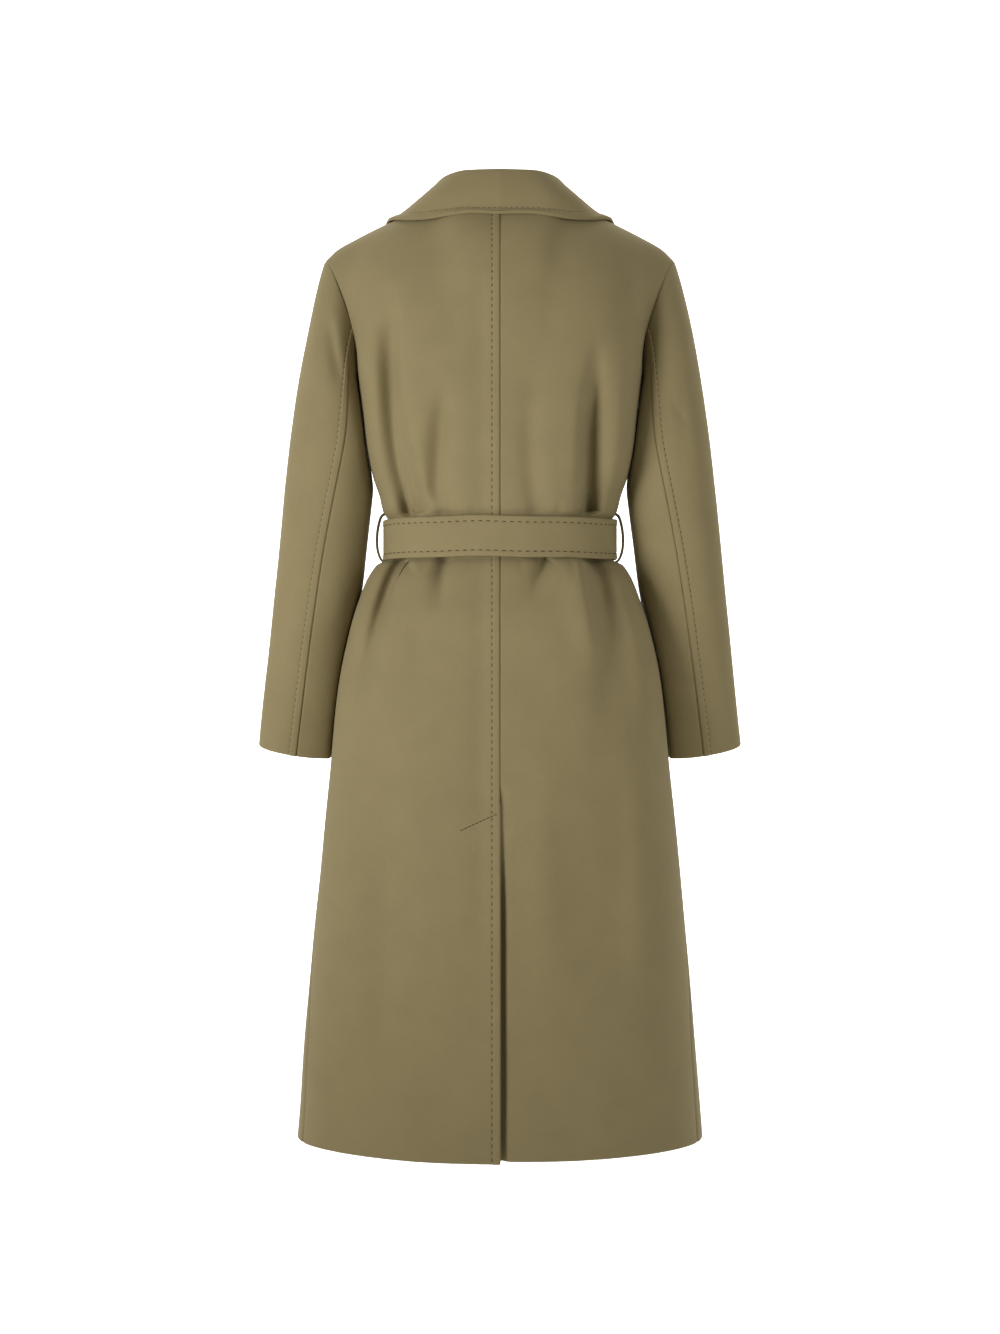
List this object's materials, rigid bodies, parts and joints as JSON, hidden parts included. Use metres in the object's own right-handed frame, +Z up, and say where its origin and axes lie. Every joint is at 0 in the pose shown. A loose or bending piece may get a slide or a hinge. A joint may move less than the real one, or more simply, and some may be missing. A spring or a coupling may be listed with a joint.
{
  "type": "belted coat",
  "caption": "Long olive wool wrap coat with a notched collar, two-piece sleeves, tied belt on side loops and a back vent, holding its worn shape.",
  "frame": {"origin": "base of the neck, midway between the shoulder seams' neck points, where the wearer carries the coat", "axes": "+Z up, -Y out of the coat's front, +X to the wearer's left"},
  "size_m": [0.584, 0.3538, 1.1496],
  "materials": {
    "wool": "matt felted wool"
  },
  "bodies": {
    "root": {"back_left": "wool", "back_right": "wool", "front_left": "wool", "front_right": "wool", "lapel_left": "wool", "lapel_right": "wool", "collar": "wool", "sleeve_left_top": "wool", "sleeve_left_under": "wool", "sleeve_right_top": "wool", "sleeve_right_under": "wool", "belt": "wool", "belt_knot": "wool", "belt_tail_left": "wool", "belt_tail_right": "wool", "belt_loop_left": "wool", "belt_loop_right": "wool"}
  },
  "joints": []
}
